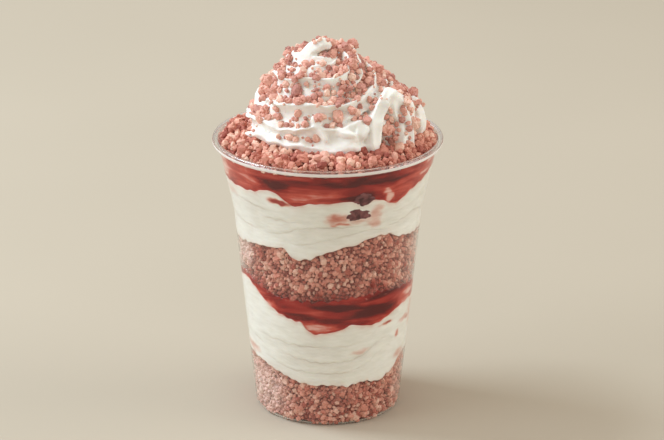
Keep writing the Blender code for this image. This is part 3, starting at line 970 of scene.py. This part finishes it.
# %% [markdown]
# ## The whipped cream
# The swirl is one rope of cream, pushed through a star-shaped nozzle and coiled round itself four
# times, each turn smaller and resting on the last. The rope is made as the nozzle makes it: a star is
# carried along the coil and slowly twisted. A voxel remesh then melts the turns into one body.

# %% Carry a star along a path
cream_low, cream_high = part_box("whipped_cream")
CREAM_FOOT = cream_low.z
CREAM_TOP = cream_high.z
FOOT_SHIFT = 3.0 * MM
TIP_SHIFT = -2.4 * MM


def rope(name, path, radii, lobes, depth, twist, start=0.0, around=84):
    """A closed rope with a star-shaped section, turning with the path without spinning."""
    path, radii = np.asarray(path), np.asarray(radii)
    tangents = np.gradient(path, axis=0)
    tangents /= np.linalg.norm(tangents, axis=1)[:, None]
    across = np.cross(tangents[0], (0.0, 0.0, 1.0))
    phi = np.arange(around) * math.tau / around
    rings = []
    for index, (point, tangent) in enumerate(zip(path, tangents)):
        across = across - tangent * np.dot(across, tangent)
        across /= np.linalg.norm(across)
        up = np.cross(tangent, across)
        turned = phi * lobes / 2 + start + twist * index / len(path)
        star = 1.0 - depth * np.abs(np.sin(turned)) ** 0.9 - 0.05 * np.abs(np.sin(turned * 3.0))
        radius = radii[index] * star
        rings.append(point + radius[:, None] * (np.cos(phi)[:, None] * across + np.sin(phi)[:, None] * up))
    return skin(name, np.stack(rings), path[0], path[-1])


# %% Pipe the swirl
TURNS = 4.22
START_ANGLE = 20.0
SQUASH = 0.88                      # the coil is less deep, front to back, than it is wide
CLIMB_FROM, CLIMB_OVER = -0.06, 0.28    # where each turn climbs on to the one before, in turns
TIER_RADII = (28.5, 24.3, 17.4, 9.4, 1.0)
TIER_HEIGHTS = (4.6, 12.8, 20.9, 28.4, 36.2)
TIER_ROPES = (9.4, 9.0, 8.8, 7.6, 4.8)


def tiered(turn, sizes):
    """A size in mm along the coil: nearly level in each turn, with a climb where the turns meet."""
    level = np.interp(turn, range(len(sizes)), sizes)
    index = int(turn - CLIMB_FROM)
    part = min(1.0, (turn - CLIMB_FROM - index) / CLIMB_OVER)
    before, after = sizes[max(index - 1, 0)], sizes[min(index, len(sizes) - 1)]
    return (0.2 * level + 0.8 * (before + (after - before) * part * part * (3.0 - 2.0 * part))) * MM


def coil():
    """Path and thickness of the coiled rope, from its rounded start to the curl at the tip."""
    path, radii = [], []
    steps = 520
    for step in range(steps + 1):
        turn = TURNS * step / steps
        angle = math.radians(START_ANGLE + 360.0 * turn)
        radius, height = tiered(turn, TIER_RADII), CREAM_FOOT + tiered(turn, TIER_HEIGHTS)
        lean = (height - CREAM_FOOT) / (CREAM_TOP - CREAM_FOOT)
        shift = FOOT_SHIFT + (TIP_SHIFT - FOOT_SHIFT) * lean
        flow = noise.noise(Vector((turn * 5.0, 3.1, 0.4)))
        path.append((radius * math.sin(angle) * (1.0 + 0.05 * flow) + shift, -radius * math.cos(angle) * SQUASH, height))
        blunt = min(1.0, math.sqrt(max(step, 0.6) / 14.0))
        taper = min(1.0, ((steps - step) / 50.0 + 0.02) ** 0.7)
        pulse = 1.0 + 0.10 * noise.noise(Vector((turn * 11.0, 0.7, 5.2)))
        radii.append(tiered(turn, TIER_ROPES) * blunt * taper * pulse)
    return path, radii


def shell():
    """The rope's first push at the right, which the ridges of its star lie on."""
    path, radii = [], []
    for part in np.linspace(0.0, 1.0, 60):
        angle = math.radians(60.0 + 4.0 * part)
        radius = (28.0 - 3.0 * part ** 1.6) * MM
        height = CREAM_FOOT + (-2.0 + 23.0 * part) * MM
        path.append((radius * math.sin(angle) + FOOT_SHIFT, -radius * math.cos(angle), height))
        radii.append(10.5 * MM * math.sqrt(max(1.0 - part ** 2.6, 0.004)))
    return path, radii


# Ridges and curls that stand out from the coil: points in mm, then their thickness in mm.
STRANDS = {
    "front_ridge": (((29, -13, 145), (24.5, -19, 142.5), (21.8, -23, 137), (20.3, -26.5, 131), (19.5, -30, 123)), 3.9),
    "middle_ridge": (((31.5, -9, 141), (33.5, -12.5, 135), (33.5, -14.5, 129), (32, -16, 123.5)), 3.1),
    "outer_ridge": (((35, -2, 138), (38.2, -3.5, 131), (38.4, -5, 123)), 3.6),
    "front_lump": (((11, -26.5, 126.5), (14, -27.5, 130), (17.5, -26, 133.5)), 4.4),
    "small_curl": (((2, -29, 134.5), (6, -31.5, 132.5), (11, -31, 129.5)), 2.0),
    "spike": (((-5.5, -27, 138), (-4, -30.5, 134), (-1.0, -32, 129)), 1.8),
    "hem": (((-34.5, -11, 124.8), (-28.5, -18, 126.4), (-22.5, -22.5, 126.2), (-16, -27, 125.2), (-7.5, -30.5, 124.4),
             (1, -32, 124.0), (9.5, -31.5, 124.2), (17, -29.5, 124.4), (20, -29.5, 122.8)), 2.7),
    "tip_curl": (((-9, -3, 157), (-7, -5.5, 160.2), (-3, -4.5, 161.9), (1, -2, 161.8)), 2.7),
}


def strand(points, thick):
    """A smooth path through a few points, with a thickness that is rounded off at both ends."""
    points = [Vector(point) * MM for point in points]
    path = []
    for index, (start, end) in enumerate(zip(points, points[1:])):
        before, after = points[max(index - 1, 0)], points[min(index + 2, len(points) - 1)]
        path += interpolate_bezier(start, start + (end - before) / 6, end - (after - start) / 6, end, 14)[:-1]
    path.append(points[-1])
    part = np.linspace(-1.0, 1.0, len(path))
    return path, thick * MM * np.sqrt(np.maximum(1.0 - np.abs(part) ** 5, 0.02))


def sag(point):
    """A small, smooth, wandering shift, which keeps the ridges from running too evenly."""
    slow = noise.noise_vector(point * 65.0) * 2.3 * MM
    fast = noise.noise_vector(point * 190.0) * 1.0 * MM
    return slow + fast


def build_cream(finish):
    mesh = bpy.data.meshes.new("cream")
    whole = bmesh.new()
    parts = [rope("coil", *coil(), lobes=7, depth=0.32, twist=22.0),
             rope("shell", *shell(), lobes=9, depth=0.16, twist=0.6, start=0.5)]
    for name, (points, thick) in STRANDS.items():
        parts.append(rope(name, *strand(points, thick), lobes=5, depth=0.24, twist=2.5, around=60))
    for part in parts:
        whole.from_mesh(part)
    cone = bmesh.ops.create_cone(
        whole, cap_ends=True, segments=48, radius1=30.5 * MM, radius2=1 * MM, depth=40 * MM)
    for vert in cone["verts"]:
        rise = (vert.co.z + 20 * MM) / (CREAM_TOP - CREAM_FOOT)
        vert.co.x += FOOT_SHIFT + (TIP_SHIFT - FOOT_SHIFT) * rise
        vert.co.y *= SQUASH
        vert.co.z += CREAM_FOOT + 19.5 * MM
    whole.to_mesh(mesh)
    whole.free()
    cream = show("whipped_cream_swirl", mesh, finish)
    melt = cream.modifiers.new("melt", "REMESH")
    melt.mode = "VOXEL"
    melt.voxel_size = 0.65 * MM
    soften = cream.modifiers.new("soften", "SMOOTH")
    soften.factor = 0.5
    soften.iterations = 3
    mesh = baked(cream)
    points = positions(mesh)
    points += np.array([sag(Vector(point)) for point in points])
    points[:, 2] = np.clip(points[:, 2], CREAM_FOOT - 0.8 * MM, CREAM_TOP)
    set_positions(mesh, points)
    mesh.shade_smooth()
    mesh.materials.clear()
    mesh.materials.append(finish)
    return cream


CREAM = stained("whipped_cream", (0.90, 0.89, 0.84), 0.45, 0.35, 0.2, 0.12)
cream = build_cream(CREAM)
store(cream.data, "stain", np.zeros(len(cream.data.vertices)))
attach(cream, "root")
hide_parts("whipped_cream")
print("cream:", len(cream.data.polygons), "faces, top at %.1f mm" % (positions(cream.data)[:, 2].max() / MM))

# %% [markdown]
# ## Crumbs on the cream
# Sprinkled crumbs come to rest on what faces up, and gather in the grooves between the turns. The
# cover number is worked out from the way each point faces and from how deep it lies in a groove.

# %% Sprinkle the cream
def evened(mesh, points, rounds):
    """The points after several rounds in which each moves to the middle of its neighbours."""
    ends = np.zeros(len(mesh.edges) * 2, np.int32)
    mesh.edges.foreach_get("vertices", ends)
    ends = ends.reshape(-1, 2)
    count = np.bincount(ends.ravel(), minlength=len(points))[:, None]
    for _ in range(rounds):
        total = np.zeros_like(points)
        np.add.at(total, ends[:, 0], points[ends[:, 1]])
        np.add.at(total, ends[:, 1], points[ends[:, 0]])
        points = total / np.maximum(count, 1)
    return points


# Places that no crumb has reached: each is (x, y, z) and a radius, in mm.
BARE = (((15.5, -31, 130), 5.5), ((27, -17, 144), 4.5), ((22, -25, 138), 4.5), ((20.5, -29, 130), 4), ((40, -5, 129), 5),
        ((-7, -7, 160), 5), ((-3, -33, 132), 3), ((7, -33, 131), 3), ((-14, -32, 126), 4),
        ((-26, -21, 127), 4), ((2, -34, 125), 4.5), ((-12, -22, 148), 4))


def cream_cover(mesh):
    points = positions(mesh)
    normals = np.zeros(len(points) * 3, np.float32)
    mesh.vertex_normals.foreach_get("vector", normals)
    normals = normals.reshape(-1, 3)
    rise = (points[:, 2] - CREAM_FOOT) / (CREAM_TOP - CREAM_FOOT)
    facing = np.clip(normals[:, 2] + 0.25, 0.0, 1.0)
    patchy = np.array([noise.noise(Vector(point) * 75.0) for point in points])
    groove = np.clip(np.einsum("ij,ij->i", evened(mesh, points, 14) - points, normals) / (0.8 * MM), -1.0, 1.0)
    bare = sum(np.exp(-(((points - np.array(place) * MM) / (size * MM)) ** 2).sum(axis=1)) for place, size in BARE)
    right = np.clip(points[:, 0] / (20 * MM), -0.3, 1.0)
    amount = 0.10 + facing * (0.35 + 0.9 * np.clip(rise, 0, 1)) + 0.5 * groove + 0.75 * patchy + 0.3 * right * rise
    return np.clip(amount - 1.5 * bare, 0.0, 1.0) * (normals[:, 2] > -0.25)


cover = cream_cover(cream.data)
store(cream.data, "cover", cover ** 1.2)
dust = sprinkle("cream_crumbs_small", cream.data, CRUMB, 1.75 * MM, 0.45 * MM, 1.1 * MM, 21, 0.2 * MM)
store(cream.data, "cover", cover)
bits = sprinkle("cream_crumbs_middling", cream.data, CRUMB, 2.6 * MM, 1.0 * MM, 2.0 * MM, 22, 0.5 * MM)
store(cream.data, "cover", cover ** 0.5 * 0.55)
lumps = sprinkle("cream_crumbs_large", cream.data, CRUMB, 6.0 * MM, 1.6 * MM, 2.7 * MM, 23, 1.0 * MM, 3)
for piece in (dust, bits, lumps):
    # The crumbs on the cream are mixed a fifth of the way to pale pink, all over.
    store(piece.data, "milk_and_painted_reflection", 0.2)
    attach(piece, "root")

# %% [markdown]
# ## Floor, light and camera
# The sundae stands on a plain pale surface, lit by one large soft lamp high on the left and a
# little behind, with even light from all round to fill its shadow. The camera looks down at twenty
# degrees from about a metre away, through a long lens, so that the cup's sides stay nearly straight.

# %% The stage
def build_floor():
    made, shader = principled("floor", (0.66, 0.585, 0.475), 0.95)
    shader.inputs["Specular IOR Level"].default_value = 0.1
    tree = made.node_tree
    place = tree.nodes.new("ShaderNodeTexCoord")
    cloud = tree.nodes.new("ShaderNodeTexNoise")
    cloud.inputs["Scale"].default_value = 3.0
    tree.links.new(place.outputs["Object"], cloud.inputs["Vector"])
    ramp = tree.nodes.new("ShaderNodeValToRGB")
    stops = ramp.color_ramp.elements
    stops[0].position, stops[0].color = 0.3, (0.482, 0.424, 0.334, 1.0)
    stops[1].position, stops[1].color = 0.7, (0.509, 0.448, 0.355, 1.0)
    tree.links.new(cloud.outputs["Fac"], ramp.inputs["Fac"])
    tree.links.new(ramp.outputs["Color"], shader.inputs["Base Color"])
    body = bmesh.new()
    bmesh.ops.create_grid(body, x_segments=8, y_segments=8, size=3.0)
    for vert in body.verts:
        vert.co.z = -0.0002
    mesh = bpy.data.meshes.new("floor")
    body.to_mesh(mesh)
    body.free()
    floor = show("floor", mesh, made)


def aim(thing, target):
    thing.rotation_euler = (Vector(target) - thing.location).to_track_quat("-Z", "Y").to_euler()


def lamp(name, place, size, power, colour):
    light = bpy.data.lights.new(name, "AREA")
    light.shape = "SQUARE"
    light.size = size
    light.energy = power
    light.color = colour
    made = bpy.data.objects.new(name, light)
    made.location = place
    bpy.context.scene.collection.objects.link(made)
    aim(made, (0.0, 0.0, 0.08))


build_floor()
lamp("key", (-1.15, 0.35, 1.45), 0.65, 22.0, (0.86, 1.0, 1.14))
lamp("left_card", (-1.9, -0.6, 0.9), 1.2, 15.0, (0.90, 1.0, 1.12))
lamp("right_bounce", (1.6, -0.1, 0.8), 1.3, 13.0, (0.98, 1.0, 1.0))
world = bpy.data.worlds.new("studio")
world.use_nodes = True
world.node_tree.nodes["Background"].inputs["Color"].default_value = (1.0, 0.93, 0.84, 1.0)
world.node_tree.nodes["Background"].inputs["Strength"].default_value = 0.68
bpy.context.scene.world = world

# %% The camera
CAMERA_DISTANCE = 1.3
CAMERA_RISE = math.radians(19.95)
AIM = Vector((1.8 * MM, 0.0, 82.4 * MM))
view = bpy.data.cameras.new("camera")
view.sensor_width = 36.0
view.lens = 164.8
camera = bpy.data.objects.new("camera", view)
bpy.context.scene.collection.objects.link(camera)
camera.location = AIM + CAMERA_DISTANCE * Vector((0.0, -math.cos(CAMERA_RISE), math.sin(CAMERA_RISE)))
aim(camera, AIM)
bpy.context.scene.camera = camera
bpy.context.scene.view_settings.view_transform = "Standard"
